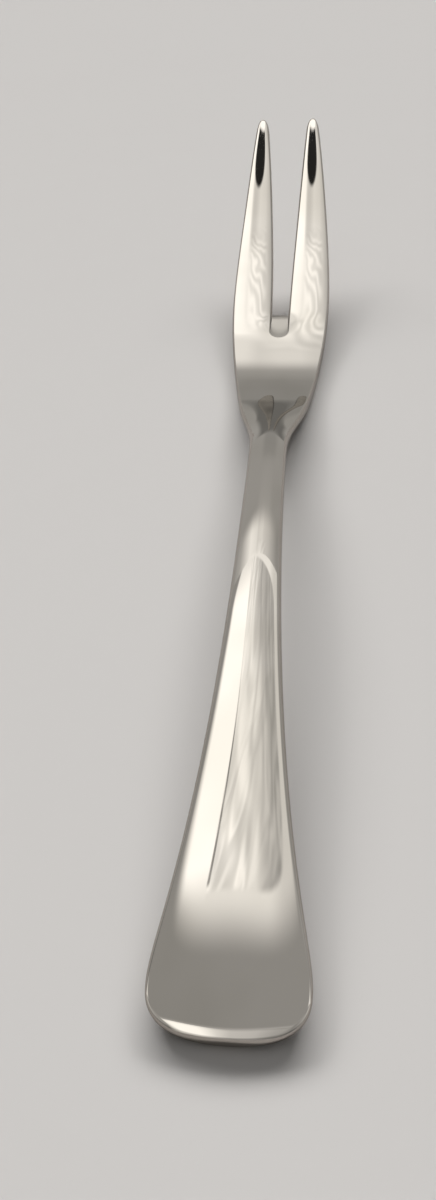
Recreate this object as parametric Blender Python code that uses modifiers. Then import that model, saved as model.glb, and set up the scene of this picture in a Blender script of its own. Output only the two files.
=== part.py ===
"""A two-tined serving fork, pressed from one stainless steel blank.

The half fork is skinned from its plan outline: an upper face, a lower face and a rounded rim that
is carried round the outline. A Mirror modifier makes the whole.
"""
import bmesh
import bpy
import numpy as np

# Lengths along the fork, in metres. y runs from the handle's end to the tips, z is up.
HANDLE_LENGTH = 0.0787       # handle's end to the neck, its narrowest place
ROOT_LENGTH = 0.0332         # neck to the end of the slot
TINE_LENGTH = 0.0439         # end of the slot to the tips

# Plan of the handle
END_WIDTH = 0.0165           # widest place of the handle
END_ROUND = 0.0051           # handle's end to its widest place
END_SQUARENESS = 2.6         # exponent of the end's superellipse, 2 is an ellipse
WAIST_START = 0.0057         # how long the sides stay wide before they draw in
WAIST_REACH = 0.0567         # how long the sides run in line with the neck
NECK_WIDTH = 0.0054

# Plan of the root and the tines
SHOULDER_WIDTH = 0.01095
SHOULDER_FROM_NECK = 0.0160
SHOULDER_FLARE = 0.15        # how fast a side leaves the axis at the shoulder
HEAD_WIDTH = 0.0164
HEAD_PAST_SLOT_END = 0.0101  # end of the slot to the widest place of the head
SLOT_WIDTH = 0.0027
TIP_SPREAD = 0.00905         # between the tips of the two tines
TIP_WIDTH = 0.00235          # tine's width where its point begins to round
TIP_ROUND = 0.0017           # length of that rounded point
THROAT_RAMP = 0.0064         # length of the sloping floor at the end of the slot

# Fullness of the curved sides: lengths of the Bezier handles, as shares of their stretch
NECK_HOLD = 0.50             # side in line with the neck before it flares
SHOULDER_HOLD = 0.35         # side in line with the shoulder's flare, on either side of it
HEAD_HOLD = 0.35             # side parallel to the axis at the head's widest place
TINE_HOLD = 0.20             # side in line with the point, inside and outside
TINE_BELLY = 0.54            # how much of a tine's taper is done where that begins
POINT_HOLD = 0.55            # roundness of the point, 0.55 is an ellipse

# Side view, measured on the underside
END_HEIGHT = -0.00008        # the end's rounded edge lifts it onto the table
END_SLOPE = 0.19
CREST_HEIGHT = 0.0058
CREST_BEFORE_NECK = 0.0213
CREST_RADIUS = 0.230         # of the arched handle
BEND_PAST_NECK = 0.0007      # where the handle bends down to the root
BEND_HEIGHT = 0.0044
BEND_SLOPE = -0.13
BEND_RADIUS = 0.040
DROP_PAST_NECK = 0.0060      # straight slope from the bend to the belly
DROP_HEIGHT = 0.00325
DROP_SLOPE = -0.27
BELLY_PAST_NECK = 0.0231     # where the root rests on the table, flat across
BELLY_RADIUS = 0.050
TIP_HEIGHT = 0.0178
TIP_SLOPE = 0.75
TIP_RADIUS = 0.100

# Thickness of the metal on the axis, and how far each face falls away towards the edge
END_THICKNESS = 0.0022
NECK_THICKNESS = 0.0030
ROOT_THICKNESS = 0.0022
TIP_THICKNESS = 0.0015
HANDLE_CROWN = 0.0004
NECK_CROWN = 0.0005
DROP_CROWN = 0.0009
ROOT_CROWN = 0.0001
TINE_CROWN = 0.00022
TIP_CROWN = 0.0001
HANDLE_UNDER_CROWN = 0.0007
TINE_UNDER_CROWN = 0.0002
TINE_PARTING = 0.0065        # past the slot's end, where each tine has a crown of its own
END_ROLL = 0.0021            # length over which the upper face rolls off to the handle's end
END_ROLL_DROP = 0.00085
END_ROLL_BOW = 0.0008        # how far the roll's line draws back at the sides

# Width of the rounded edge, seen from above
SIDE_EDGE = 0.0005
TINE_EDGE = 0.00035

# Facets
CURVE_STEPS = 60             # samples on each stretch of the outline
ACROSS = 10                  # faces from the axis to the edge
EDGE_FACES = 5               # faces round the edge
END_ROWS, HANDLE_ROWS, ROOT_ROWS, THROAT_ROWS, TINE_ROWS = 12, 20, 18, 7, 18
END_GRADING = 1.6            # rows close up towards the handle's end
END_CORNER = 0.72            # where the end row turns into the side, as a share of the end's curve
THROAT_LEAN = 0.20           # how far the rows lean back round the slot's end, as a share of the root
RIM_NUDGE = 0.1              # how far out the slopes of the faces are read, as a share of the edge
SHARP_ANGLE = np.radians(40)

# Places that follow from the sizes above
NECK_Y = HANDLE_LENGTH
SLOT_Y = NECK_Y + ROOT_LENGTH
TIP_Y = SLOT_Y + TINE_LENGTH
POINT_Y = TIP_Y - TIP_ROUND
SHOULDER_Y = NECK_Y + SHOULDER_FROM_NECK
HEAD_Y = SLOT_Y + HEAD_PAST_SLOT_END
CREST_Y = NECK_Y - CREST_BEFORE_NECK
BEND_Y = NECK_Y + BEND_PAST_NECK
DROP_Y = NECK_Y + DROP_PAST_NECK
BELLY_Y = NECK_Y + BELLY_PAST_NECK
SLOT_RADIUS = SLOT_WIDTH / 2
TIP_X = TIP_SPREAD / 2
OUTER_POINT = (TIP_X + TIP_WIDTH / 2, POINT_Y)
INNER_POINT = (TIP_X - TIP_WIDTH / 2, POINT_Y)

STEEL_COLOUR = (0.62, 0.61, 0.60, 1.0)
STEEL_ROUGHNESS = 0.12


def bezier(start, start_handle, end_handle, end):
    """Points on a cubic Bezier curve in plan."""
    t = np.linspace(0, 1, CURVE_STEPS)[:, None]
    knots = [np.array(point) for point in (start, start_handle, end_handle, end)]
    shares = ((1 - t) ** 3, 3 * t * (1 - t) ** 2, 3 * t * t * (1 - t), t ** 3)
    return sum(share * knot for share, knot in zip(shares, knots))


def smooth_run(y, stations):
    """Curve through stations (y, value, slope, curvature), each stretch a quintic."""
    ys = np.array([station[0] for station in stations])
    span = np.clip(np.searchsorted(ys, y, side="right") - 1, 0, len(ys) - 2)
    table = np.array([station[1:] for station in stations])
    start, end = table[span], table[span + 1]
    length = ys[span + 1] - ys[span]
    t = np.clip((y - ys[span]) / length, 0, 1)
    rise = t ** 3 * (10 - 15 * t + 6 * t * t)
    value = start[..., 0] * (1 - rise) + end[..., 0] * rise
    value += start[..., 1] * length * (t - 6 * t ** 3 + 8 * t ** 4 - 3 * t ** 5)
    value += end[..., 1] * length * (-4 * t ** 3 + 7 * t ** 4 - 3 * t ** 5)
    value += start[..., 2] * length ** 2 * (t ** 2 - 3 * t ** 3 + 3 * t ** 4 - t ** 5) / 2
    value += end[..., 2] * length ** 2 * (t ** 3 - 2 * t ** 4 + t ** 5) / 2
    return value


def level_run(y, *pairs):
    """Curve that eases from one (y, value) pair to the next."""
    return smooth_run(y, [(place, value, 0, 0) for place, value in pairs])


def end_curve():
    """Quarter of the superellipse that rounds the handle's end, from the axis to the side."""
    angle = np.linspace(0, np.pi / 2, CURVE_STEPS)
    power = 2 / END_SQUARENESS
    x = END_WIDTH / 2 * np.sin(angle) ** power
    y = END_ROUND * (1 - np.cos(angle) ** power)
    return np.column_stack((x, y))


def side_curves():
    """The outer side: handle, neck, shoulder, head and the outside of the tine."""
    end_x, neck_x = END_WIDTH / 2, NECK_WIDTH / 2
    shoulder_x, head_x = SHOULDER_WIDTH / 2, HEAD_WIDTH / 2
    handle = bezier((end_x, END_ROUND), (end_x, END_ROUND + WAIST_START),
                    (neck_x, NECK_Y - WAIST_REACH), (neck_x, NECK_Y))
    back, ahead = SHOULDER_HOLD * SHOULDER_FROM_NECK, SHOULDER_HOLD * (HEAD_Y - SHOULDER_Y)
    low = bezier((neck_x, NECK_Y), (neck_x, NECK_Y + NECK_HOLD * SHOULDER_FROM_NECK),
                 (shoulder_x - SHOULDER_FLARE * back, SHOULDER_Y - back), (shoulder_x, SHOULDER_Y))
    high = bezier((shoulder_x, SHOULDER_Y), (shoulder_x + SHOULDER_FLARE * ahead, SHOULDER_Y + ahead),
                  (head_x, HEAD_Y - HEAD_HOLD * (HEAD_Y - SHOULDER_Y)), (head_x, HEAD_Y))
    tine = tine_side((head_x, HEAD_Y), OUTER_POINT)
    return [handle, low, high, tine]


def tine_side(start, point):
    """Side of a tine, parallel to the axis at its start and drawn in towards the point."""
    length = point[1] - start[1]
    return bezier(start, (start[0], start[1] + HEAD_HOLD * length),
                  (start[0] + (point[0] - start[0]) * TINE_BELLY, point[1] - TINE_HOLD * length), point)


def inner_curve():
    """Inside of the tine, from the slot's rounded end to the tip's point."""
    return tine_side((SLOT_RADIUS, SLOT_Y + SLOT_RADIUS), INNER_POINT)


def point_curve(outer, inner):
    """Rounded point of the tine, from the outside over the tip to the inside."""
    tip = np.array((TIP_X, TIP_Y))
    halves = []
    for side in (outer, inner):
        heading = (side[-1] - side[-2]) / np.linalg.norm(side[-1] - side[-2])
        flat = (tip[0] + (side[-1][0] - tip[0]) * POINT_HOLD, TIP_Y)
        halves.append(bezier(side[-1], side[-1] + heading * TIP_ROUND * POINT_HOLD, flat, tip))
    return np.vstack((halves[0], halves[1][-2::-1]))


def slot_arc():
    """Quarter round at the end of the slot, from the axis to the side of the tine."""
    angle = np.linspace(0, np.pi / 2, CURVE_STEPS)
    return np.column_stack((SLOT_RADIUS * np.sin(angle), SLOT_Y + SLOT_RADIUS * (1 - np.cos(angle))))


class Outline:
    """Half outline in plan, as one path with its outward normals."""

    def __init__(self):
        outer, inner = side_curves(), inner_curve()
        runs = [end_curve()] + outer + [point_curve(outer[-1], inner), inner[::-1], slot_arc()[::-1]]
        self.points = np.vstack([runs[0]] + [run[1:] for run in runs[1:]])
        steps = np.linalg.norm(np.diff(self.points, axis=0), axis=1)
        self.length = np.concatenate(([0], np.cumsum(steps)))
        heading = np.gradient(self.points, self.length, axis=0)
        heading[0], heading[-1] = (1, 0), (-1, 0)
        heading /= np.linalg.norm(heading, axis=1)[:, None]
        self.normals = np.column_stack((heading[:, 1], -heading[:, 0]))
        joins = np.cumsum([len(run) - 1 for run in runs])
        self.side_start, self.point_start, self.point_end, self.arc_start = self.length[joins[[0, 4, 5, 6]]]

    def at(self, length):
        """Points and normals at lengths along the path."""
        pick = [np.interp(length, self.length, column) for column in (*self.points.T, *self.normals.T)]
        return np.column_stack(pick[:2]), np.column_stack(pick[2:])

    def outer_length(self, y):
        """Length along the path where the outer side passes y."""
        outer = self.length <= self.point_start
        return np.interp(y, self.points[outer, 1], self.length[outer])

    def inner_length(self, y):
        """Length along the path where the inside of the tine passes y."""
        inner = (self.length >= self.point_end) & (self.length <= self.arc_start)
        return np.interp(y, self.points[inner, 1][::-1], self.length[inner][::-1])


def underside(y):
    """Height of the underside on the axis: arched handle, bend, belly on the table, rising tines."""
    return smooth_run(y, [(0, END_HEIGHT, END_SLOPE, -1 / CREST_RADIUS),
                          (CREST_Y, CREST_HEIGHT, 0, -1 / CREST_RADIUS),
                          (BEND_Y, BEND_HEIGHT, BEND_SLOPE, -1 / BEND_RADIUS),
                          (DROP_Y, DROP_HEIGHT, DROP_SLOPE, 0),
                          (BELLY_Y, 0, 0, 1 / BELLY_RADIUS),
                          (TIP_Y, TIP_HEIGHT, TIP_SLOPE, 1 / TIP_RADIUS)])


def faces_at(x, y, outline):
    """Heights of the upper and lower face at plan points."""
    outer_x = np.interp(y, *outline.points[outline.length <= outline.point_start].T[::-1])
    inner = (outline.length >= outline.point_end) & (outline.length <= outline.arc_start)
    inner_x = np.interp(y, *outline.points[inner].T[::-1, ::-1])
    across_fork = (x / outer_x) ** 2
    across_tine = ((2 * x - outer_x - inner_x) / (outer_x - inner_x)) ** 2
    parted = level_run(y, (SLOT_Y, 0), (SLOT_Y + TINE_PARTING, 1))
    across = across_fork * (1 - parted) + across_tine * parted
    thickness = level_run(y, (0, END_THICKNESS), (NECK_Y, NECK_THICKNESS),
                          (SLOT_Y, ROOT_THICKNESS), (TIP_Y, TIP_THICKNESS))
    crown = level_run(y, (END_ROUND, HANDLE_CROWN), (NECK_Y, NECK_CROWN), (DROP_Y, DROP_CROWN),
                      (SHOULDER_Y, ROOT_CROWN), (HEAD_Y, TINE_CROWN), (TIP_Y, TIP_CROWN))
    under_crown = level_run(y, (DROP_Y, HANDLE_UNDER_CROWN), (BELLY_Y, 0), (HEAD_Y, TINE_UNDER_CROWN))
    roll_y = y - END_ROLL_BOW * (2 * x / END_WIDTH) ** 2
    roll = END_ROLL_DROP * np.clip(1 - roll_y / END_ROLL, 0, 1) ** 2
    low = underside(y)
    return low + thickness - crown * across - roll, low + under_crown * across


def edge_width(y):
    return level_run(y, (NECK_Y, SIDE_EDGE), (SLOT_Y, TINE_EDGE))


def inset(outline, length):
    """Points on the outline drawn in by the width of the rounded edge, and their normals."""
    points, normals = outline.at(length)
    return points - normals * edge_width(points[:, 1])[:, None], normals


def spaced(start, end, count, grading=1, last=False):
    shares = np.linspace(0, 1, count + 1) ** grading
    return (start + (end - start) * shares)[:count + 1 if last else count]


def rows_of(outline):
    """Plan points of both ends of every row, on the axis or inside, and on the outer side."""
    corner = outline.side_start * END_CORNER
    settle = 2 * END_ROUND
    lean = ROOT_LENGTH * THROAT_LEAN
    throat_y = SLOT_Y + SLOT_RADIUS
    outer = np.concatenate((
        spaced(corner, outline.outer_length(settle), END_ROWS, END_GRADING),
        outline.outer_length(spaced(settle, NECK_Y, HANDLE_ROWS)),
        outline.outer_length(spaced(NECK_Y, SLOT_Y - lean, ROOT_ROWS)),
        outline.outer_length(spaced(SLOT_Y - lean, throat_y, THROAT_ROWS)),
        spaced(outline.outer_length(throat_y), outline.point_start, TINE_ROWS, last=True)))
    axis_y = np.concatenate((spaced(edge_width(0.0), settle, END_ROWS, END_GRADING),
                             spaced(settle, NECK_Y, HANDLE_ROWS),
                             spaced(NECK_Y, SLOT_Y - edge_width(SLOT_Y), ROOT_ROWS)))
    inner = np.concatenate((spaced(outline.length[-1], outline.arc_start, THROAT_ROWS),
                            spaced(outline.arc_start, outline.point_end, TINE_ROWS, last=True)))
    return axis_y, inner, outer, corner


def sheet(inner_side, outer_side, end_row, tip_row):
    """Grid of plan points between the two sides, bent to the curved first and last rows."""
    u = np.linspace(0, 1, ACROSS + 1)[None, :, None]
    grid = inner_side[:, None] * (1 - u) + outer_side[:, None] * u
    bow = end_row - grid[0]
    tip_bow = tip_row - grid[-1]
    fade = np.clip(1 - np.arange(len(grid)) / END_ROWS, 0, 1)[:, None, None]
    tip_fade = np.clip(1 - np.arange(len(grid))[::-1] / (TINE_ROWS / 2), 0, 1)[:, None, None]
    return grid + bow * fade ** 2 + tip_bow * tip_fade ** 2


def raised(plan, heights):
    return np.concatenate((plan, heights[..., None]), axis=-1)


def skin(mesh, grid):
    """Quads between the rows of a grid of points."""
    rows = [[mesh.verts.new(point) for point in row] for row in grid]
    for low, high in zip(rows, rows[1:]):
        for left in range(len(low) - 1):
            mesh.faces.new((low[left], low[left + 1], high[left + 1], high[left]))


def ring(grid, throat_row):
    """The edge of a sheet in order: handle's end, outer side, tip, inside and slot end."""
    return np.concatenate((grid[0, :-1], grid[:-1, -1], grid[-1, :0:-1], grid[:throat_row - 1:-1, 0]))


def rim(top, bottom, normals, outline):
    """Rows of the rounded edge, from the upper face's edge to the lower face's, in line with both."""
    reach = normals * edge_width(top[:, 1])[:, None]
    climbs = []
    for side, edge in enumerate((top, bottom)):
        beyond = edge[:, :2] + reach * RIM_NUDGE
        climbs.append((faces_at(*beyond.T, outline)[side] - edge[:, 2]) / RIM_NUDGE)
    turn = np.linspace(0, np.pi, EDGE_FACES + 1)[:, None, None]
    share = (1 - np.cos(turn)) / 2
    start = top + raised(reach, climbs[0]) * np.sin(turn)
    end = bottom + raised(reach, climbs[1]) * np.sin(turn)
    return start * (1 - share) + end * share


def half_fork():
    """Upper face, lower face and rounded rim of the half at +x, open on the axis."""
    outline = Outline()
    axis_y, inner, outer, corner = rows_of(outline)
    axis = np.column_stack((np.zeros_like(axis_y), axis_y))
    inside, inside_normals = inset(outline, inner)
    outside, outside_normals = inset(outline, outer)
    end_row, end_normals = inset(outline, np.linspace(0, corner, ACROSS + 1))
    tip_row, tip_normals = inset(outline, np.linspace(outline.point_end, outline.point_start, ACROSS + 1))

    floor_y = SLOT_Y + THROAT_RAMP
    squeeze = (POINT_Y - floor_y) / (POINT_Y - inside[THROAT_ROWS, 1])
    floor = inside.copy()
    floor[:THROAT_ROWS, 1] = floor_y
    floor[THROAT_ROWS:, 1] = POINT_Y - (POINT_Y - inside[THROAT_ROWS:, 1]) * squeeze
    floor[THROAT_ROWS:, 0] = inset(outline, outline.inner_length(floor[THROAT_ROWS:, 1]))[0][:, 0]
    floor[:THROAT_ROWS, 0] = inside[:THROAT_ROWS, 0] / inside[THROAT_ROWS, 0] * floor[THROAT_ROWS, 0]

    upper = sheet(np.vstack((axis, inside)), outside, end_row, tip_row)
    lower = sheet(np.vstack((axis, floor)), outside, end_row, tip_row)
    upper = raised(upper, faces_at(upper[..., 0], upper[..., 1], outline)[0])
    lower = raised(lower, faces_at(lower[..., 0], lower[..., 1], outline)[1])

    top, bottom = ring(upper, len(axis)), ring(lower, len(axis))
    normals = np.concatenate((end_normals[:-1], outside_normals[:-1], tip_normals[:0:-1],
                              inside_normals[::-1]))
    mesh = bmesh.new()
    for grid in (upper, lower, rim(top, bottom, normals, outline)):
        skin(mesh, grid)
    bmesh.ops.remove_doubles(mesh, verts=mesh.verts, dist=1e-7)
    bmesh.ops.recalc_face_normals(mesh, faces=mesh.faces)
    bmesh.ops.translate(mesh, verts=mesh.verts, vec=(0, -TIP_Y / 2, 0))
    return mesh


def steel():
    material = bpy.data.materials.new("polished_stainless_steel")
    material.use_nodes = True
    shader = material.node_tree.nodes["Principled BSDF"]
    shader.inputs["Base Color"].default_value = STEEL_COLOUR
    shader.inputs["Metallic"].default_value = 1.0
    shader.inputs["Roughness"].default_value = STEEL_ROUGHNESS
    return material


def fork(collection):
    mesh = bpy.data.meshes.new("fork")
    half = half_fork()
    half.to_mesh(mesh)
    half.free()
    mesh.materials.append(steel())
    piece = bpy.data.objects.new("fork", mesh)
    collection.objects.link(piece)
    whole = piece.modifiers.new("two sides alike", "MIRROR")
    whole.merge_threshold = 0.00001
    mesh.shade_smooth()
    mesh.set_sharp_from_angle(angle=SHARP_ANGLE)
    return piece


def main():
    for old in list(bpy.data.objects):
        bpy.data.objects.remove(old)
    collection = bpy.data.collections.new("two_tined_fork")
    bpy.context.scene.collection.children.link(collection)
    fork(collection)


main()
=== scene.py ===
import functools
import math

import bpy
import numpy as np
from mathutils import Matrix, Vector


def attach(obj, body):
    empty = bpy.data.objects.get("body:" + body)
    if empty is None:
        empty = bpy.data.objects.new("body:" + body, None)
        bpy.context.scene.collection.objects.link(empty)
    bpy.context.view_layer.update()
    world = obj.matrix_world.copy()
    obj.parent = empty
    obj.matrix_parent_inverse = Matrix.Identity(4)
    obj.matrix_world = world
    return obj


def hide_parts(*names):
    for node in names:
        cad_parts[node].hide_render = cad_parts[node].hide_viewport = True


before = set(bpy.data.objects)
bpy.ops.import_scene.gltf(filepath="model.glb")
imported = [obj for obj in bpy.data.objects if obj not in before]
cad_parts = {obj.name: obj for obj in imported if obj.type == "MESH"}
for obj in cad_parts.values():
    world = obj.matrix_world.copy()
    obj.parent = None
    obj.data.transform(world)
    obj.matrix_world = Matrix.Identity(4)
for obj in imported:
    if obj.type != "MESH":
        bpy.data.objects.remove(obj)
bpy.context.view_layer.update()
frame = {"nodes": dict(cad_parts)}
scene = bpy.context.scene
scene.view_settings.view_transform = "Standard"
print("frame loaded:", ", ".join(frame["nodes"]))

mm = 0.001
smooth = {"interpolation_type": "SMOOTHSTEP"}    # setting of Map Range nodes that ease from end to end
colourA, colourB, colourOut = 6, 7, 2            # the sockets of a Mix node that are for colours


def linear(hexColour):
    # sRGB hex to the linear values that shaders take
    parts = np.array([int(hexColour[i:i + 2], 16) for i in (1, 3, 5)]) / 255
    low = parts / 12.92
    high = ((parts + 0.055) / 1.055) ** 2.4
    return (*np.where(parts <= 0.04045, low, high), 1.0)


def addNode(tree, kind, feeds=(), **settings):
    # one node with its settings; feeds is {input: feed}, or a row of feeds for the first inputs. A feed is
    # a value, an output, or a node, which stands for its first output
    node = tree.nodes.new("ShaderNode" + kind)
    for name, value in settings.items():
        setattr(node, name, value)
    for place, feed in feeds.items() if isinstance(feeds, dict) else enumerate(feeds):
        if isinstance(feed, bpy.types.Node):
            feed = feed.outputs[0]
        if isinstance(feed, bpy.types.NodeSocket):
            tree.links.new(feed, node.inputs[place])
        else:
            node.inputs[place].default_value = feed
    return node


def emptyTree(owner):
    # clears the nodes of a material or world, and gives back addNode for it
    owner.use_nodes = True
    owner.node_tree.nodes.clear()
    return functools.partial(addNode, owner.node_tree)


def fillRamp(node, stops, low, high):
    # grey stops of a colour ramp, at places between low and high
    ramp = node.color_ramp
    while len(ramp.elements) < len(stops):
        ramp.elements.new(1.0)
    for element, (place, grey) in zip(ramp.elements, stops):
        element.position = (place - low) / (high - low)
        element.color = (grey, grey, grey, 1)
    return node


# camera: stands over the handle and looks along it at the tines

cameraPlace = {
    "eye": (8.51, -107.14, 100.94),                # mm
    "pitch": 49.25, "yaw": -9.33, "roll": -5.84,   # degrees: down, to the left, tilt
    "lens": 30.0, "sensor": 36.0,                  # mm, the sensor's long side
    "clipStart": 0.01,                             # m
}


def setCamera(place):
    # level axes turned by yaw and pitch, then tilted by the roll
    pitch, yaw, roll = (math.radians(place[key]) for key in ("pitch", "yaw", "roll"))
    ahead = Vector((math.sin(yaw) * math.cos(pitch), math.cos(yaw) * math.cos(pitch), -math.sin(pitch)))
    level = Vector((math.cos(yaw), -math.sin(yaw), 0))
    upright = level.cross(ahead)
    right = level * math.cos(roll) + upright * math.sin(roll)
    up = upright * math.cos(roll) - level * math.sin(roll)
    data = bpy.data.cameras.new("camera")
    data.sensor_width, data.lens, data.clip_start = place["sensor"], place["lens"], place["clipStart"]
    camera = bpy.data.objects.new("camera", data)
    turn = Matrix((right, up, -ahead)).transposed()
    camera.matrix_world = Matrix.Translation(Vector(place["eye"]) * mm) @ turn.to_4x4()
    scene.collection.objects.link(camera)
    scene.camera = camera


setCamera(cameraPlace)
print("camera set")


# the fork: one blank of steel, pressed to shape. All sizes in mm, y from the handle's end to the tips

forkForm = {
    # outline from above
    "handleLength": 78.7, "rootLength": 33.2, "tineLength": 43.9,
    "endWidth": 16.5, "endRound": 5.1, "endSquareness": 2.6,
    "waistStart": 5.7, "waistReach": 56.7, "neckWidth": 5.4,
    "shoulderWidth": 10.95, "shoulderFromNeck": 16.0, "shoulderFlare": 0.15,
    "headWidth": 16.4, "headPastSlotEnd": 10.1, "slotWidth": 2.7,
    "tipSpread": 9.05, "tipWidth": 2.35, "tipRound": 1.7, "throatRamp": 6.4,
    "neckHold": 0.50, "shoulderHold": 0.35, "headHold": 0.35,      # fullness of the sides
    "tineHold": 0.20, "tineBelly": 0.54, "pointHold": 0.55,
    # underside from the side
    "endHeight": -0.08, "endSlope": 0.19, "crestHeight": 5.8, "crestBeforeNeck": 21.3, "crestRadius": 230.0,
    "bendPastNeck": 0.7, "bendHeight": 4.4, "bendSlope": -0.13, "bendRadius": 40.0,
    "dropPastNeck": 6.0, "dropHeight": 3.25, "dropSlope": -0.27,
    "bellyPastNeck": 23.1, "bellyRadius": 50.0,
    "tipHeight": 17.8, "tipSlope": 0.75, "tipRadius": 100.0,
    # thickness, crowns and rounded edges
    "endThickness": 2.2, "neckThickness": 3.0, "rootThickness": 2.2, "tipThickness": 1.5,
    "handleCrown": 0.4, "neckCrown": 0.5, "dropCrown": 0.9, "rootCrown": 0.1, "tineCrown": 0.22,
    "tipCrown": 0.1, "handleUnderCrown": 0.7, "tineUnderCrown": 0.2, "tineParting": 6.5, "tineLean": 0.019,
    "endRoll": 2.2, "endRollDrop": 0.75, "endRollBow": 0.8, "sideEdge": 0.5, "tineEdge": 0.35,
    # shelf in the slot's end: its depth, and the shares of the rim's way where its step and its level end
    "shelfDepth": 0.25, "shelfStep": 0.3, "shelfEdge": 0.72,
    "satinRise": 3.0,       # how fast the satin finish comes in over the rim
    # faces: points on a curve, faces across and round the rim, rows along, and how they close up
    "curveSteps": 400, "across": 36, "edgeFaces": 18, "edgeGrading": 0.8, "lastRow": 0.12,
    "rows": {"end": 40, "handle": 120, "root": 100, "throat": 34, "tine": 110}, "endGrading": 1.6,
    "endCorner": 0.72,      # share of the end's round where the first row turns into the side
    "throatLean": 0.20,     # share of the root where the throat's rows lean back to
    "slopeSteps": 10,       # the rim's width holds this many of the steps that slopes are taken over
    "weldDigits": 5,        # points that agree to these decimals are one
    "sharpAngle": 50,       # degrees
}

neckY = forkForm["handleLength"]
slotY = neckY + forkForm["rootLength"]
tipY = slotY + forkForm["tineLength"]
pointY = tipY - forkForm["tipRound"]
shoulderY = neckY + forkForm["shoulderFromNeck"]
headY = slotY + forkForm["headPastSlotEnd"]
throatY = slotY + forkForm["slotWidth"] / 2
floorY = slotY + forkForm["throatRamp"]
dropY = neckY + forkForm["dropPastNeck"]
bellyY = neckY + forkForm["bellyPastNeck"]


def bezier(*knots):
    # cubic Bezier in plan: each knot weighted by its Bernstein share
    t = np.linspace(0, 1, forkForm["curveSteps"])[:, None]
    shares = ((1 - t) ** 3, 3 * t * (1 - t) ** 2, 3 * t * t * (1 - t), t ** 3)
    return sum(share * np.array(knot) for share, knot in zip(shares, knots))


def quinticRun(y, stations):
    # through stations (y, value, slope, curvature), a quintic on each stretch, so curvature runs on
    table = np.array(stations, float)
    span = np.clip(np.searchsorted(table[:, 0], y, side="right") - 1, 0, len(table) - 2)
    a, b = table[span], table[span + 1]
    length = b[..., 0] - a[..., 0]
    t = np.clip((y - a[..., 0]) / length, 0, 1)
    rise = t ** 3 * (10 - 15 * t + 6 * t * t)
    return (a[..., 1] * (1 - rise) + b[..., 1] * rise
            + a[..., 2] * length * (t - 6 * t ** 3 + 8 * t ** 4 - 3 * t ** 5)
            + b[..., 2] * length * (-4 * t ** 3 + 7 * t ** 4 - 3 * t ** 5)
            + a[..., 3] * length ** 2 * (t ** 2 - 3 * t ** 3 + 3 * t ** 4 - t ** 5) / 2
            + b[..., 3] * length ** 2 * (t ** 3 - 2 * t ** 4 + t ** 5) / 2)


def easeRun(y, *pairs):
    # eases from one (y, value) pair to the next
    return quinticRun(y, [(place, value, 0, 0) for place, value in pairs])


def tineSide(start, point):
    # side of a tine: parallel to the axis at its start, drawn in towards the point
    length = point[1] - start[1]
    return bezier(start, (start[0], start[1] + forkForm["headHold"] * length),
                  (start[0] + (point[0] - start[0]) * forkForm["tineBelly"],
                   point[1] - forkForm["tineHold"] * length), point)


def planRuns(f):
    # half outline in stretches: superellipse end, Bezier sides, rounded point, inside of the tine, slot arc
    quarter = np.linspace(0, np.pi / 2, f["curveSteps"])
    power = 2 / f["endSquareness"]
    endX, neckX, shoulderX, headX = (f[key] / 2 for key in
                                     ("endWidth", "neckWidth", "shoulderWidth", "headWidth"))
    end = np.column_stack((endX * np.sin(quarter) ** power, f["endRound"] * (1 - np.cos(quarter) ** power)))
    handle = bezier((endX, f["endRound"]), (endX, f["endRound"] + f["waistStart"]),
                    (neckX, neckY - f["waistReach"]), (neckX, neckY))
    back = f["shoulderHold"] * f["shoulderFromNeck"]
    onward = f["shoulderHold"] * (headY - shoulderY)
    low = bezier((neckX, neckY), (neckX, neckY + f["neckHold"] * f["shoulderFromNeck"]),
                 (shoulderX - f["shoulderFlare"] * back, shoulderY - back), (shoulderX, shoulderY))
    high = bezier((shoulderX, shoulderY), (shoulderX + f["shoulderFlare"] * onward, shoulderY + onward),
                  (headX, headY - f["headHold"] * (headY - shoulderY)), (headX, headY))
    tipX, half, slotR = f["tipSpread"] / 2, f["tipWidth"] / 2, f["slotWidth"] / 2
    outer = tineSide((headX, headY), (tipX + half, pointY))
    inner = tineSide((slotR, throatY), (tipX - half, pointY))
    halves = []
    for side in (outer, inner):
        heading = (side[-1] - side[-2]) / np.linalg.norm(side[-1] - side[-2])
        onwards = side[-1] + heading * f["tipRound"] * f["pointHold"]
        flat = (tipX + (side[-1][0] - tipX) * f["pointHold"], tipY)
        halves.append(bezier(side[-1], onwards, flat, (tipX, tipY)))
    point = np.vstack((halves[0], halves[1][-2::-1]))
    arc = np.column_stack((slotR * np.sin(quarter), slotY + slotR * (1 - np.cos(quarter))))
    return [end, handle, low, high, outer, point, inner[::-1], arc[::-1]]


def planPath(f):
    # the stretches as one path: points, running length, outward normals and the lengths of the joins
    runs = planRuns(f)
    points = np.vstack([runs[0]] + [run[1:] for run in runs[1:]])
    length = np.concatenate(([0], np.cumsum(np.linalg.norm(np.diff(points, axis=0), axis=1))))
    heading = np.gradient(points, length, axis=0)
    heading[0], heading[-1] = (1, 0), (-1, 0)
    heading /= np.linalg.norm(heading, axis=1)[:, None]
    joins = length[np.cumsum([len(run) - 1 for run in runs])]
    sideStart, pointStart, pointEnd, arcStart = joins[[0, 4, 5, 6]]     # stretches in planRuns' order
    outer, inner = length <= pointStart, (length >= pointEnd) & (length <= arcStart)
    return {"points": points, "length": length, "normals": np.column_stack((heading[:, 1], -heading[:, 0])),
            "sideStart": sideStart, "pointStart": pointStart, "pointEnd": pointEnd, "arcStart": arcStart,
            "outerX": points[outer, 0], "outerY": points[outer, 1], "outerLength": length[outer],
            "innerX": points[inner, 0][::-1], "innerY": points[inner, 1][::-1],
            "innerLength": length[inner][::-1]}


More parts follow.
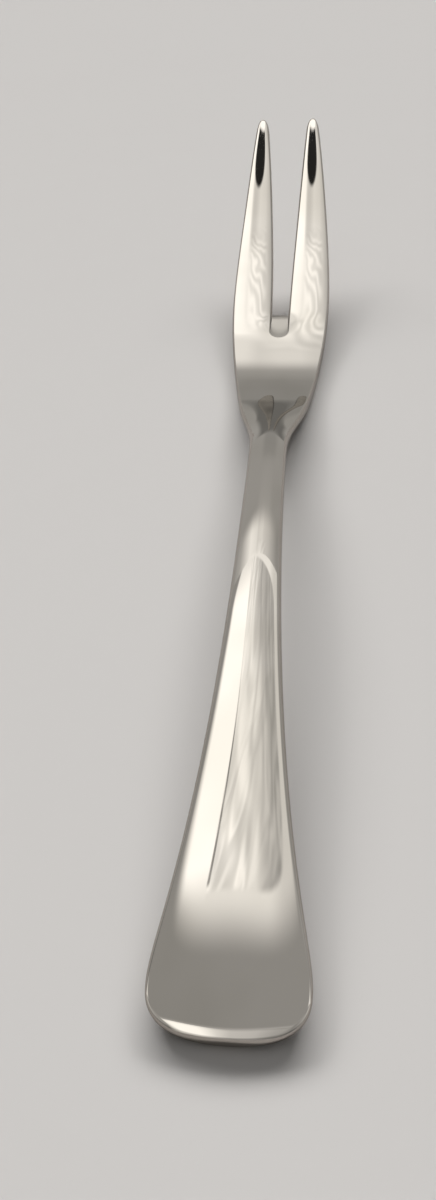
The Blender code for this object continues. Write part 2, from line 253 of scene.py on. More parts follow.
def edgeWidth(y, f):
    # width of the rounded edge: eases over the root from the handle's to the tines'
    return easeRun(y, (neckY, f["sideEdge"]), (slotY, f["tineEdge"]))


def inset(path, length, f):
    # points on the path drawn in by the width of the rounded edge, with their normals
    columns = np.column_stack((path["points"], path["normals"]))
    picked = np.column_stack([np.interp(length, path["length"], column) for column in columns.T])
    return picked[:, :2] - picked[:, 2:] * edgeWidth(picked[:, 1], f)[:, None], picked[:, 2:]


def faceHeights(x, y, path, f):
    # underside: arched handle, belly on the table, rising tines; thickness over it; both faces fall
    # away from their middle by a crown times the squared share of the way to the edge
    low = quinticRun(y, [(0, f["endHeight"], f["endSlope"], -1 / f["crestRadius"]),
                         (neckY - f["crestBeforeNeck"], f["crestHeight"], 0, -1 / f["crestRadius"]),
                         (neckY + f["bendPastNeck"], f["bendHeight"], f["bendSlope"], -1 / f["bendRadius"]),
                         (dropY, f["dropHeight"], f["dropSlope"], 0),
                         (bellyY, 0, 0, 1 / f["bellyRadius"]),
                         (tipY, f["tipHeight"], f["tipSlope"], 1 / f["tipRadius"])])
    outerX = np.interp(y, path["outerY"], path["outerX"])
    innerX = np.interp(y, path["innerY"], path["innerX"])
    parted = easeRun(y, (slotY, 0), (slotY + f["tineParting"], 1))
    acrossTine = ((2 * x - outerX - innerX) / (outerX - innerX)) ** 2
    across = (x / outerX) ** 2 * (1 - parted) + acrossTine * parted
    thickness = easeRun(y, (0, f["endThickness"]), (neckY, f["neckThickness"]),
                        (slotY, f["rootThickness"]), (tipY, f["tipThickness"]))
    crown = easeRun(y, (f["endRound"], f["handleCrown"]), (neckY, f["neckCrown"]), (dropY, f["dropCrown"]),
                    (shoulderY, f["rootCrown"]), (headY, f["tineCrown"]), (tipY, f["tipCrown"]))
    underCrown = easeRun(y, (dropY, f["handleUnderCrown"]), (bellyY, 0), (headY, f["tineUnderCrown"]))
    rollY = y - f["endRollBow"] * (2 * x / f["endWidth"]) ** 2
    roll = f["endRollDrop"] * np.clip(1 - rollY / f["endRoll"], 0, 1) ** 3    # cube of the way into the roll
    lean = f["tineLean"] * parted * (x - (outerX + innerX) / 2)               # each tine leans to the slot
    return low + thickness - crown * across - roll + lean, low + underCrown * across


def rowEnds(path, f):
    # where each row starts, on the axis or inside a tine, and where it ends, on the outer side
    rows, settle, closer = f["rows"], 2 * f["endRound"], f["endGrading"]
    corner = path["sideStart"] * f["endCorner"]
    leanY = slotY - f["rootLength"] * f["throatLean"]

    def outerAt(y):
        return np.interp(y, path["outerY"], path["outerLength"])

    def spaced(start, end, key, last=False, grading=1):
        shares = np.linspace(0, 1, rows[key] + 1) ** grading
        if last:                                    # a narrow last row keeps the points' faces flat
            shares[-2] = 1 - (1 - shares[-2]) * f["lastRow"]
        return (start + (end - start) * shares)[:rows[key] + 1 if last else rows[key]]

    outer = np.concatenate((spaced(corner, outerAt(settle), "end", grading=closer),
                            outerAt(spaced(settle, neckY, "handle")),
                            outerAt(spaced(neckY, leanY, "root")), outerAt(spaced(leanY, throatY, "throat")),
                            spaced(outerAt(throatY), path["pointStart"], "tine", True)))
    axisY = np.concatenate((spaced(f["sideEdge"], settle, "end", grading=closer),
                            spaced(settle, neckY, "handle"),
                            spaced(neckY, slotY - f["tineEdge"], "root")))
    inner = np.concatenate((spaced(path["length"][-1], path["arcStart"], "throat"),
                            spaced(path["arcStart"], path["pointEnd"], "tine", True)))
    return axisY, inner, outer, corner


def sheetGrid(innerSide, outerSide, endRow, tipRow, f):
    # straight rows between the two sides; the first and last rows' bow fades into their neighbours
    u = np.linspace(0, 1, f["across"] + 1)[None, :, None]
    grid = innerSide[:, None] * (1 - u) + outerSide[:, None] * u
    index = np.arange(len(grid))
    fade = np.clip(1 - index / f["rows"]["end"], 0, 1)[:, None, None] ** 2
    tipFade = np.clip(1 - index[::-1] / (f["rows"]["tine"] / 2), 0, 1)[:, None, None] ** 2
    return grid + (endRow - grid[0]) * fade + (tipRow - grid[-1]) * tipFade


def slotFloor(inside, path, f):
    # inner side of the lower face: the slot's end lies further on there, and the rest closes up to the points
    throat = f["rows"]["throat"]
    squeeze = (pointY - floorY) / (pointY - inside[throat, 1])
    sideY = pointY - (pointY - inside[throat:, 1]) * squeeze
    floor = inside.copy()
    floor[throat:] = inset(path, np.interp(sideY, path["innerY"], path["innerLength"]), f)[0]
    floor[:throat, 0] = inside[:throat, 0] / inside[throat, 0] * floor[throat, 0]
    floor[:throat, 1] = floorY
    return floor


def rimGrid(top, bottom, normals, path, f):
    # half ellipse from the upper face's edge to the lower face's: out by the edge's width times a sine, and
    # up or down with the slopes of the two faces. Comes with its turn and its share of the way down
    width = edgeWidth(top[:, 1], f)[:, None]
    nudge = normals * width / f["slopeSteps"]
    rise = np.zeros((2, len(top)))
    for side, edge in enumerate((top, bottom)):
        beyond = (edge[:, :2] + nudge).T
        rise[side] = f["slopeSteps"] * (faceHeights(*beyond, path, f)[side] - edge[:, 2])
    turn = np.linspace(0, np.pi, f["edgeFaces"] + 1)[:, None]
    turn = turn - f["edgeGrading"] * np.sin(2 * turn) / 2      # finest where it leaves the two faces
    share = (1 - np.cos(turn)) / 2
    climb = rise[0] * (1 - share) + rise[1] * share
    outward = np.dstack((np.broadcast_to(normals * width, climb.shape + (2,)), climb))
    rim = top * (1 - share[..., None]) + bottom * share[..., None] + outward * np.sin(turn)[..., None]
    return rim, turn, share


def shelfHeights(slot, share, path, f):
    # a step down from the upper face, on along it, then over a round edge to the lower face
    wall = np.interp(slot[..., 1], path["innerY"], path["innerX"])
    level = faceHeights(wall, slot[..., 1], path, f)[0]
    step = f["shelfDepth"] * np.sin(np.clip(share / f["shelfStep"], 0, 1) * np.pi / 2)
    over = 1 - np.sqrt(1 - np.clip((share - f["shelfEdge"]) / (1 - f["shelfEdge"]), 0, 1) ** 2)
    shelf = level + (slot[:1, :, 2] - level[:1]) * (1 - share) - step
    return shelf * (1 - over) + slot[-1:, :, 2] * over


def halfGrids(f):
    # upper face, lower face and rim of the half at +x; in the slot's end the rim is a shelf. Each comes with
    # the share of satin finish at its points, for the slot's end and the points of the tines
    path = planPath(f)
    axisY, inner, outer, corner = rowEnds(path, f)
    axis = np.column_stack((np.zeros_like(axisY), axisY))
    inside, insideNormals = inset(path, inner, f)
    outside, outsideNormals = inset(path, outer, f)
    endRow, endNormals = inset(path, np.linspace(0, corner, f["across"] + 1), f)
    tipRow, tipNormals = inset(path, np.linspace(path["pointEnd"], path["pointStart"], f["across"] + 1), f)

    upper = sheetGrid(np.vstack((axis, inside)), outside, endRow, tipRow, f)
    lower = sheetGrid(np.vstack((axis, slotFloor(inside, path, f))), outside, endRow, tipRow, f)
    upper = np.dstack((upper, faceHeights(upper[..., 0], upper[..., 1], path, f)[0]))
    lower = np.dstack((lower, faceHeights(lower[..., 0], lower[..., 1], path, f)[1]))

    def ring(grid):
        return np.concatenate((grid[0, :-1], grid[:-1, -1], grid[-1, :0:-1], grid[:len(axis) - 1:-1, 0]))

    top = ring(upper)
    normals = np.concatenate((endNormals[:-1], outsideNormals[:-1], tipNormals[:0:-1], insideNormals[::-1]))
    rim, turn, share = rimGrid(top, ring(lower), normals, path, f)
    slot = rim[:, -len(inside):]
    inSlot = easeRun(slot[:1, :, 1], (throatY, 1), (floorY, 0))
    slot[..., 2] += (shelfHeights(slot, share, path, f) - slot[..., 2]) * inSlot
    matt = np.clip((top[:, 1] - pointY) / f["tipRound"], 0, 1)
    matt[-len(inside):] = np.maximum(matt[-len(inside):], inSlot[0])
    satin = np.clip(f["satinRise"] * np.sin(turn), 0, 1) * matt
    return (upper, lower, rim), (np.zeros(upper.shape[:2]), np.zeros(lower.shape[:2]), satin)


def gridFaces(grid, start, flip):
    # quads between neighbouring rows and columns of a grid whose first vertex has index start
    index = np.arange(grid.shape[0] * grid.shape[1]).reshape(grid.shape[:2]) + start
    corners = (index[:-1, :-1], index[:-1, 1:], index[1:, 1:], index[1:, :-1])
    quads = np.stack(corners, axis=-1).reshape(-1, 4)
    return quads[:, ::-1] if flip else quads


def makeFork(f):
    # the half's grids and their mirror images, welded where they meet
    shapes, finishes = halfGrids(f)
    grids = [*shapes, *(grid * (-1, 1, 1) for grid in shapes)]
    flips = (False, True, True, True, False, False)            # turns every face outwards
    starts = np.cumsum([0] + [grid.shape[0] * grid.shape[1] for grid in grids])
    points = np.vstack([grid.reshape(-1, 3) for grid in grids])
    quads = np.vstack([gridFaces(grid, start, flip) for grid, start, flip in zip(grids, starts, flips)])
    satin = np.concatenate([finish.ravel() for finish in finishes * 2])
    first, weld = np.unique(np.round(points, f["weldDigits"]), axis=0,
                            return_index=True, return_inverse=True)[1:]
    points, quads = points[first] - (0, tipY / 2, 0), weld.reshape(-1)[quads]
    mesh = bpy.data.meshes.new("fork_polished")
    mesh.from_pydata((points * mm).tolist(), [], quads.tolist())
    mesh.validate()
    mesh.attributes.new("satin", "FLOAT", "POINT").data.foreach_set("value", satin[first].astype(np.float32))
    mesh.shade_smooth()
    mesh.set_sharp_from_angle(angle=math.radians(f["sharpAngle"]))
    piece = bpy.data.objects.new("fork_polished", mesh)
    scene.collection.objects.link(piece)
    return piece


steelFinish = {
    "bright": "#c9c4be", "dull": "#c1bcb5",         # colour of the metal, and where handling has dulled it
    "dullPatch": 14.0, "dullFrom": (0.4, 0.65),     # mm, and levels of the noise between which it dulls
    "waves": 9.0, "waveHeight": 0.006, "waveDetail": 1.0,    # mm: what the hand-held wheel leaves
    # mm: width and length, drawn coarser than real ones to show
    "buffLine": (0.5, 14.0), "buffDetail": 3.0, "buffFrom": (0.35, 0.75),
    "roughness": (0.022, 0.05), "satinRoughness": 0.30,
}


def polishedStainless(finish):
    # 18/10 stainless steel, pressed and buffed to a mirror: clear reflections with a slow waver, faint
    # buffing lines along the fork, slightly warm. The slot's end, which the wheel can't reach, and the
    # points, which use has dulled, are satin
    material = bpy.data.materials.new("stainless steel, pressed and mirror-buffed")
    add = emptyTree(material)
    place = add("TexCoord").outputs["Object"]
    waves = add("TexNoise", {"Vector": place, "Scale": 1 / (finish["waves"] * mm),
                             "Detail": finish["waveDetail"]})
    bump = add("Bump", {"Height": waves, "Distance": finish["waveHeight"] * mm})
    width, length = (1 / (size * mm) for size in finish["buffLine"])
    drawn = add("Mapping", {"Vector": place, "Scale": (width, length, width)})
    lines = add("TexNoise", {"Vector": drawn, "Scale": 1.0, "Detail": finish["buffDetail"]})
    buffed = add("MapRange", (lines, *finish["buffFrom"], *finish["roughness"]), **smooth)
    satin = add("Attribute", attribute_name="satin").outputs["Fac"]
    roughness = add("Mix", {"Factor": satin, "A": buffed, "B": finish["satinRoughness"]})
    patches = add("TexNoise", {"Vector": place, "Scale": 1 / (finish["dullPatch"] * mm)})
    dulled = add("MapRange", (patches, *finish["dullFrom"]), **smooth)
    colours = {colourA: linear(finish["bright"]), colourB: linear(finish["dull"])}
    colour = add("Mix", {"Factor": dulled, **colours}, data_type="RGBA")
    shader = add("BsdfPrincipled", {"Base Color": colour.outputs[colourOut], "Metallic": 1.0,
                                    "Roughness": roughness, "Normal": bump})
    add("OutputMaterial", (shader,))
    return material


fork = makeFork(forkForm)
fork.data.materials.append(polishedStainless(steelFinish))
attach(fork, "root")
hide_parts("fork")
print("fork made:", len(fork.data.polygons), "faces")


# floor and light

# the floor's colour as the steel mirrors it is darker: painted shade, standing in for the shadowed floor
# beside the fork
floorForm = {"side": 6.0, "colour": "#d0cdca", "shadedInSteel": "#b2ada9", "roughness": 0.9}    # side in m


def makeFloor(form):
    # a pale matt sheet; where the steel mirrors it, its colour is painted darker, as painted shade for the
    # shadowed floor beside the fork
    half = form["side"] / 2
    corners = [(-half, -half, 0), (half, -half, 0), (half, half, 0), (-half, half, 0)]
    mesh = bpy.data.meshes.new("floor")
    mesh.from_pydata(corners, [], [(0, 1, 2, 3)])
    floor = bpy.data.objects.new("floor", mesh)
    scene.collection.objects.link(floor)
    material = bpy.data.materials.new("pale studio floor")
    add = emptyTree(material)
    mirrored = add("LightPath").outputs["Is Glossy Ray"]
    colours = {colourA: linear(form["colour"]), colourB: linear(form["shadedInSteel"])}
    # mirror rays get the darker colour: painted shade, not a real change in the floor
    colour = add("Mix", {"Factor": mirrored, **colours}, data_type="RGBA")
    shader = add("BsdfPrincipled", {"Base Color": colour.outputs[colourOut], "Roughness": form["roughness"]})
    add("OutputMaterial", (shader,))
    mesh.materials.append(material)


makeFloor(floorForm)


# the studio that the steel mirrors. Heights are degrees up from the far horizon and over to the near one;
# across is the sideways part of a direction, ahead its part towards the far side
studioLight = {
    # height, brightness under the dome
    "low": ((0, 0.22), (8.5, 0.22), (11.5, 0.40), (24, 0.40), (30, 0.42), (36, 0.54), (60, 0.6),
            (110, 0.42), (130, 1.0), (160, 1.0), (174, 0.5)),
    # its far sides: where they start, how much closer to the middle that is above the heights given
    "lowSides": {"across": (0.20, 0.32), "closer": 0.12, "closerUp": (8.5, 12), "ahead": (0, 0.2),
                 "brightness": 0.48},
    # across, share of that brightness in the near half
    "near": ((-0.9, 0.65), (-0.68, 0.55), (-0.45, 0.5), (-0.34, 1.9), (-0.24, 1.85), (-0.14, 1.2),
             (-0.05, 0.9), (0.1, 0.8), (0.18, 0.6), (0.45, 0.35), (0.68, 0.5), (0.9, 0.65)),
    "nearAhead": (0, -0.4),
    "dome": (36, 43, 100, 112),         # heights: the bright dome fades in and out
    # across, brightness of the dome: low, middle and high, and heights between which one turns to the next
    "across": (
        ((-0.6, 0.35), (-0.45, 0.5), (-0.39, 0.62), (-0.23, 1.4), (-0.12, 1.28), (-0.09, 1.1),
         (-0.05, 1.18), (0, 1.18), (0.03, 1.05), (0.14, 0.88), (0.3, 0.46), (0.6, 0.4)),
        ((-0.6, 0.35), (-0.5, 0.5), (-0.38, 1.2), (-0.3, 1.65), (-0.2, 1.9), (-0.14, 1.75),
         (-0.11, 1.58), (0, 1.5), (0.04, 1.33), (0.08, 1.1), (0.12, 0.8), (0.3, 0.5), (0.6, 0.4)),
        ((-0.6, 0.15), (-0.5, 0.1), (-0.42, 0.3), (-0.35, 1.6), (-0.2, 1.95), (-0.135, 1.85),
         (-0.115, 1.2), (-0.1, 1.06), (-0.07, 1.08), (-0.02, 1.3), (0.05, 1.2), (0.1, 0.93),
         (0.14, 0.7), (0.3, 0.5), (0.6, 0.4)),
    ),
    "heights": ((47.5, 50), (59, 68)),
    # folds in the dome's cloth: degrees from one to the next, degrees that they slant from the middle to the
    # side, how many folds they waver, and where they fade in and out
    "ripples": {"spacing": 3.6, "slant": 31, "waver": 3.0, "waverScale": 9.0, "waverDetail": 1.0,
                "up": (44, 50, 62, 72), "across": (-0.13, -0.06, 0.05, 0.1), "depth": 0.26},
    "beside": {"across": (0.7, 0.88), "up": (70, 84), "brightness": 1.15},    # glow at both sides
    # small black cloth overhead, white from the heights in end; soft is in shares of its half size
    "flag": {"across": -0.057, "up": 98, "halfWidth": 0.1, "halfHeight": 14, "soft": (1.06, 0.92),
             "brightness": 0.03, "end": (96.1, 96.8), "cap": 1.9},
    "again": 0.33,                      # dims what a second mirroring shows, as the tines in the root
    "fill": {"ahead": (-0.6, 0.5), "levels": (0.06, 0.36)},    # for all that isn't a mirror
    "backdrop": "#ccc9c6", "tint": "#fffefa",
    # a row of soft suns, as one wide low window at the far side; degrees, W/m2
    "key": {"count": 5, "azimuth": (-37, 23), "elevation": 25.8, "angle": 15, "power": 1.06},
}


def lowPart(add, light, sky):
    # a level for each height, another at the far sides, times a share for each place across the near half
    sides = light["lowSides"]
    low = fillRamp(add("ValToRGB", (sky["upShare"],)), light["low"], 0, 180)
    closer = add("MapRange", (sky["up"], *sides["closerUp"], 0, sides["closer"]), **smooth)
    aside = add("Math", (sky["aside"], closer), operation="ADD")
    shown = add("Math", (add("MapRange", (aside, *sides["across"]), **smooth),
                         add("MapRange", (sky["ahead"], *sides["ahead"]), **smooth)), operation="MULTIPLY")
    low = add("Mix", {"Factor": shown, "A": low, "B": sides["brightness"]})
    near = fillRamp(add("ValToRGB", (sky["acrossShare"],)), light["near"], -1, 1)
    nearer = add("MapRange", (sky["ahead"], *light["nearAhead"]), **smooth)
    share = add("Mix", {"Factor": nearer, "A": 1, "B": near})
    return add("Math", (low, share), operation="MULTIPLY")


def rippleShare(add, ripples, sky):
    # 1 plus a depth times a sine of the height, slanted and wavering, shown between some heights and sides
    noise = add("TexNoise", {"Vector": sky["place"], "Scale": ripples["waverScale"],
                             "Detail": ripples["waverDetail"]})
    slanted = add("Math", (sky["across"], ripples["slant"], sky["up"]), operation="MULTIPLY_ADD")
    count = add("Math", (slanted, ripples["spacing"]), operation="DIVIDE")
    count = add("Math", (noise, ripples["waver"], count), operation="MULTIPLY_ADD")
    angle = add("Math", (count, 2 * math.pi), operation="MULTIPLY")
    depth = ripples["depth"] / 2
    for way in ("up", "across"):
        start, full, fade, end = ripples[way]
        shown = add("Math", (add("MapRange", (sky[way], start, full), **smooth),
                             add("MapRange", (sky[way], end, fade), **smooth)), operation="MULTIPLY")
        depth = add("Math", (shown, depth), operation="MULTIPLY")
    return add("Math", (add("Math", (angle,), operation="SINE"), depth, 1), operation="MULTIPLY_ADD")


def domePart(add, light, sky, low):
    # levels across at three heights, eased from one to the next, rippled, glowing at both sides; it fades in
    # over the low part and out again
    levels = [fillRamp(add("ValToRGB", (sky["acrossShare"],)), stops, -1, 1) for stops in light["across"]]
    dome = levels[0]
    for level, heights in zip(levels[1:], light["heights"]):
        risen = add("MapRange", (sky["up"], *heights), **smooth)
        dome = add("Mix", {"Factor": risen, "A": dome, "B": level})
    dome = add("Math", (dome, rippleShare(add, light["ripples"], sky)), operation="MULTIPLY")
    beside = light["beside"]
    glow = add("Math", (add("MapRange", (sky["aside"], *beside["across"]), **smooth),
                        add("MapRange", (sky["up"], *beside["up"]), **smooth)), operation="MULTIPLY")
    dome = add("Mix", {"Factor": glow, "A": dome, "B": beside["brightness"]})
    shown = fillRamp(add("ValToRGB", (sky["upShare"],)), list(zip(light["dome"], (0, 1, 1, 0))), 0, 180)
    shown.color_ramp.interpolation = "EASE"
    return add("Mix", {"Factor": shown, "A": low, "B": dome})


def flagPart(add, flag, sky, behind):
    # an ellipse of black with a white cap, over what is behind it
    offsets = []
    for way, half in (("across", "halfWidth"), ("up", "halfHeight")):
        offset = add("Math", (sky[way], flag[way]), operation="SUBTRACT")
        offsets.append(add("Math", (offset, flag[half]), operation="DIVIDE"))
    distance = add("VectorMath", (add("CombineXYZ", offsets),), operation="LENGTH").outputs["Value"]
    capped = add("MapRange", (sky["up"], *flag["end"]), **smooth)
    cloth = add("Mix", {"Factor": capped, "A": flag["brightness"], "B": flag["cap"]})
    inside = add("MapRange", (distance, *flag["soft"]), **smooth)
    return add("Mix", {"Factor": inside, "A": behind, "B": cloth})


def hangSuns(key):
    # suns at one height, spread evenly over the azimuths, not seen in the steel
    elevation = math.radians(key["elevation"])
    for number, turn in enumerate(np.linspace(*key["azimuth"], key["count"])):
        azimuth = math.radians(turn)
        lamp = bpy.data.lights.new(f"window{number}", "SUN")
        lamp.energy, lamp.angle = key["power"], math.radians(key["angle"])
        sun = bpy.data.objects.new(f"window{number}", lamp)
        away = Vector((math.sin(azimuth) * math.cos(elevation), math.cos(azimuth) * math.cos(elevation),
                       math.sin(elevation)))
        sun.rotation_euler = (-away).to_track_quat("-Z", "Y").to_euler()
        sun.visible_glossy = False
        scene.collection.objects.link(sun)


def setStudio(light):
    # the steel mirrors a soft dome, dim near the far horizon and brightest at the left, with a small black
    # flag overhead; all else gets the suns and a plain fill, which is stronger from the far side
    world = bpy.data.worlds.new("studio")
    scene.world = world
    add = emptyTree(world)
    place = add("TexCoord").outputs["Generated"]
    x, y, z = add("SeparateXYZ", (place,)).outputs
    turned = add("Math", (z, y), operation="ARCTAN2")
    sky = {"place": place, "across": x, "ahead": y, "up": add("Math", (turned,), operation="DEGREES"),
           "upShare": add("Math", (turned, math.pi), operation="DIVIDE"),
           "aside": add("Math", (x,), operation="ABSOLUTE"),
           "acrossShare": add("Math", (x, 0.5, 0.5), operation="MULTIPLY_ADD")}
    level = flagPart(add, light["flag"], sky, domePart(add, light, sky, lowPart(add, light, sky)))
    ray = add("LightPath")
    dimmed = add("MapRange", (ray.outputs["Glossy Depth"], 1, 2, 1, light["again"]), **smooth)
    strength = add("Math", (level, dimmed), operation="MULTIPLY")
    mirrored = add("Background", {"Color": linear(light["tint"]), "Strength": strength})
    fill = add("MapRange", (y, *light["fill"]["ahead"], *light["fill"]["levels"]), **smooth)
    plain = add("Background", {"Color": (1, 1, 1, 1), "Strength": fill})
    backdrop = add("Background", {"Color": linear(light["backdrop"])})
    seen = add("MixShader", (ray.outputs["Is Glossy Ray"], plain, mirrored))
    seen = add("MixShader", (ray.outputs["Is Camera Ray"], seen, backdrop))
    add("OutputWorld", (seen,))
    hangSuns(light["key"])


setStudio(studioLight)


# softbox over the handle, seen only in the steel: a white pane at the left, a narrow bar, a curtained pane
# with round corners, light cloth round them, and a grey skirt at the near end. All in mm
softbox = {
    "y": (-140, 60), "halfWidth": 120, "height": 100, "tint": "#fffefa",
    # a blunt bend; half width and shade are for the near and far y, soft and ends are shares where it fades
    "bar": {"x": -18.0, "atY": -7.0, "round": 6.0, "lean": 0.025, "bend": -0.075, "seam": 0.4,
            "y": (-20, 15), "halfWidth": (0.9, 0.4), "shade": (0.28, 0.75), "soft": (0.5, 1),
            "ends": (0.96, 0.99)},
    "pane": {"middleY": 4.0, "halfHeight": 56.0, "narrowing": 0.16, "narrowY": (-30, 40), "rightX": 28.0,
             "rightLean": 0.17, "power": 8.0, "soft": (0.85, 1.15)},
    # share of the way across the pane, brightness of the curtain; it drifts over by a share for each mm
    "curtain": ((0, 1.5), (0.2, 1.45), (0.45, 1.3), (0.6, 1.15), (0.75, 0.85), (0.88, 0.7), (1, 0.68)),
    "drift": {"fromY": -10.0, "rate": 0.006},
    # mm, number of lines, depth at the near and far y given, degrees turned
    "folds": ({"width": 24.0, "length": 110.0, "lines": 8.0, "depth": (0.24, 0.24), "turn": 0},
              {"width": 9.0, "length": 30.0, "lines": 3.0, "depth": (0.34, 0.10), "turn": -28}),
    "foldY": (-42, -12), "foldDetail": 1.5, "foldDistortion": 0.6,
    "farFade": (38, 60),                            # y: white to cloth
    "left": {"x": -46.0, "lean": -0.18, "soft": 3.0, "roundFrom": 42.0, "round": 0.03},
    "right": (4.0, 9.0, 45.0),                      # past the pane: light cloth, then dimmer, then dim
    "rightFrom": (0.75, 1),                         # share of the way across, cloth to what is past the pane
    "hem": {"y": (-139, -118), "level": 0.62},
    "skirt": {"y": (-67.5, -51.5), "middle": -7.0, "half": 30.0, "power": 4.0, "lift": 9.0, "most": 1.5,
              "white": (-56, -44)},
    "grey": 0.43, "white": 1.9, "cloth": 1.38, "margin": 1.08, "beside": 0.72, "far": 0.5, "aside": 0.42,
}


def barMiddle(add, bar, y):
    # two straight runs joined by a hyperbola
    fromBend = add("Math", (y, bar["atY"]), operation="SUBTRACT")
    squares = add("Math", (fromBend, fromBend, bar["round"] ** 2), operation="MULTIPLY_ADD")
    arm = add("Math", (squares,), operation="SQRT")
    bent = add("Math", (arm, bar["bend"], bar["x"] - bar["bend"] * bar["round"]), operation="MULTIPLY_ADD")
    return add("Math", (fromBend, bar["lean"], bent), operation="MULTIPLY_ADD")


def barShare(add, bar, y, fromBar, along):
    # dims the light to the bar's shade, not past the pane's ends
    shade = add("MapRange", (y, *bar["y"], *bar["shade"]), **smooth)
    width = add("MapRange", (y, *bar["y"], *bar["halfWidth"]), **smooth)
    aside = add("Math", (add("Math", (fromBar,), operation="ABSOLUTE"), width), operation="DIVIDE")
    share = add("Mix", {"Factor": add("MapRange", (aside, *bar["soft"]), **smooth), "A": shade, "B": 1})
    past = add("MapRange", (add("Math", (along,), operation="ABSOLUTE"), *bar["ends"]), **smooth)
    return add("Mix", {"Factor": past, "A": share, "B": 1})


def curtainLevel(add, form, place, y, across):
    # a level for each place across, times 1 plus a sine of long, narrow noises, so that folds and creases
    # follow their height lines
    drift = form["drift"]
    further = add("Math", (add("Math", (y, drift["fromY"]), operation="SUBTRACT"), 0), operation="MAXIMUM")
    drifted = add("Math", (further, drift["rate"], across), operation="MULTIPLY_ADD")
    level = fillRamp(add("ValToRGB", (drifted,)), form["curtain"], 0, 1)
    for fold in form["folds"]:
        stretched = add("Mapping", {"Vector": place, "Rotation": (0, 0, math.radians(fold["turn"])),
                                    "Scale": (fold["width"], fold["length"], 1)}, vector_type="TEXTURE")
        noise = add("TexNoise", {"Vector": stretched, "Scale": 1.0, "Detail": form["foldDetail"],
                                 "Distortion": form["foldDistortion"]})
        angle = add("Math", (noise, 2 * math.pi * fold["lines"]), operation="MULTIPLY")
        depth = add("MapRange", (y, *form["foldY"], *(depth / 2 for depth in fold["depth"])), **smooth)
        share = add("Math", (add("Math", (angle,), operation="SINE"), depth, 1), operation="MULTIPLY_ADD")
        level = add("Math", (level, share), operation="MULTIPLY")
    return level


def panesLevel(add, form, place, x, y):
    # the white pane up to the bar; past it the curtained one, a superellipse between the bar and a leaning
    # right side, with cloth and margins round it
    bar, pane = form["bar"], form["pane"]
    barX = barMiddle(add, bar, y)
    fromBar = add("Math", (x, barX), operation="SUBTRACT")
    rightX = add("Math", (y, pane["rightLean"], pane["rightX"]), operation="MULTIPLY_ADD")
    across = add("Math", (fromBar, add("Math", (rightX, barX), operation="SUBTRACT")), operation="DIVIDE")
    slant = add("MapRange", (y, *pane["narrowY"], 0, -pane["narrowing"]), **smooth)
    halfHeight = add("Math", (fromBar, slant, pane["halfHeight"]), operation="MULTIPLY_ADD")
    fromMiddle = add("Math", (y, pane["middleY"]), operation="SUBTRACT")
    along = add("Math", (fromMiddle, halfHeight), operation="DIVIDE")
    powers = [add("Math", (add("Math", (share,), operation="ABSOLUTE"), pane["power"]), operation="POWER")
              for share in (across, along)]
    outside = add("MapRange", (add("Math", powers, operation="ADD"), *pane["soft"]), **smooth)

    inner, middle, outer = form["right"]
    past = add("Math", (x, rightX), operation="SUBTRACT")
    margin = add("MapRange", (past, inner, middle, form["margin"], form["beside"]), **smooth)
    further = add("MapRange", (past, middle, outer), **smooth)
    margin = add("Mix", {"Factor": further, "A": margin, "B": form["far"]})
    atRight = add("MapRange", (across, *form["rightFrom"]), **smooth)
    margin = add("Mix", {"Factor": atRight, "A": form["cloth"], "B": margin})
    curtain = curtainLevel(add, form, place, y, across)
    right = add("Mix", {"Factor": outside, "A": curtain, "B": margin})

    white = add("MapRange", (y, *form["skirt"]["white"], form["cloth"], form["white"]), **smooth)
    faded = add("MapRange", (y, *form["farFade"]), **smooth)
    white = add("Mix", {"Factor": faded, "A": white, "B": form["cloth"]})
    atBar = add("MapRange", (fromBar, -bar["seam"], bar["seam"]), **smooth)
    level = add("Mix", {"Factor": atBar, "A": white, "B": right})
    return add("Math", (level, barShare(add, bar, y, fromBar, along)), operation="MULTIPLY")


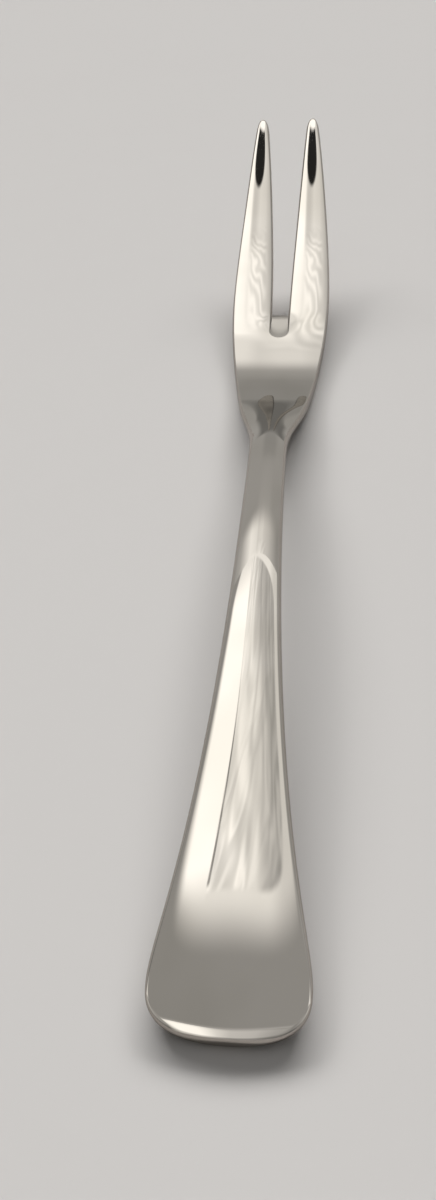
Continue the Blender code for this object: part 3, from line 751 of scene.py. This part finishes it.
def leftOf(add, left, x, y):
    # how far a place is inside a leaning left side, which is drawn in by a square past roundFrom
    fromLeft = add("Math", (y, -left["lean"], add("Math", (x, left["x"]), operation="SUBTRACT")),
                   operation="MULTIPLY_ADD")
    past = add("Math", (add("Math", (y, left["roundFrom"]), operation="SUBTRACT"), 0), operation="MAXIMUM")
    square = add("Math", (past, past), operation="MULTIPLY")
    return add("Math", (square, -left["round"], fromLeft), operation="MULTIPLY_ADD")


def skirtOf(add, skirt, x, y):
    # y less the lift of the skirt's line, which climbs to both sides with a power
    fromMiddle = add("Math", (x, skirt["middle"]), operation="SUBTRACT")
    share = add("Math", (fromMiddle, skirt["half"]), operation="DIVIDE")
    share = add("Math", (add("Math", (share,), operation="ABSOLUTE"), skirt["power"]), operation="POWER")
    share = add("Math", (share, skirt["most"]), operation="MINIMUM")
    return add("Math", (share, -skirt["lift"], y), operation="MULTIPLY_ADD")


def softboxCloth(form):
    # glowing cloth: gives the steel its clear white, grey and curtained bands
    material = bpy.data.materials.new("softbox with a white and a curtained pane")
    add = emptyTree(material)
    place = add("VectorMath", {0: add("TexCoord").outputs["Object"], "Scale": 1 / mm}, operation="SCALE")
    x, y = add("SeparateXYZ", (place,)).outputs[:2]
    left, skirt, hem = form["left"], form["skirt"], form["hem"]
    level = panesLevel(add, form, place, x, y)
    for value, ends, other in ((leftOf(add, left, x, y), (-left["soft"], left["soft"]), form["aside"]),
                               (skirtOf(add, skirt, x, y), skirt["y"], form["grey"]),
                               (y, hem["y"], hem["level"])):
        inside = add("MapRange", (value, *ends), **smooth)
        level = add("Mix", {"Factor": inside, "A": other, "B": level})
    glow = add("Emission", {"Color": linear(form["tint"]), "Strength": level})
    add("OutputMaterial", (glow,))
    return material


def makeSoftbox(form):
    # a flat card that gives no light to the floor and no shadow
    (near, far), half, height = form["y"], form["halfWidth"], form["height"]
    outline = ((-half, near), (half, near), (half, far), (-half, far))
    mesh = bpy.data.meshes.new("softbox")
    mesh.from_pydata([(x * mm, y * mm, height * mm) for x, y in outline], [], [(0, 1, 2, 3)])
    card = bpy.data.objects.new("softbox", mesh)
    scene.collection.objects.link(card)
    mesh.materials.append(softboxCloth(form))
    card.visible_camera = card.visible_diffuse = card.visible_shadow = False


makeSoftbox(softbox)
print("floor and light set")
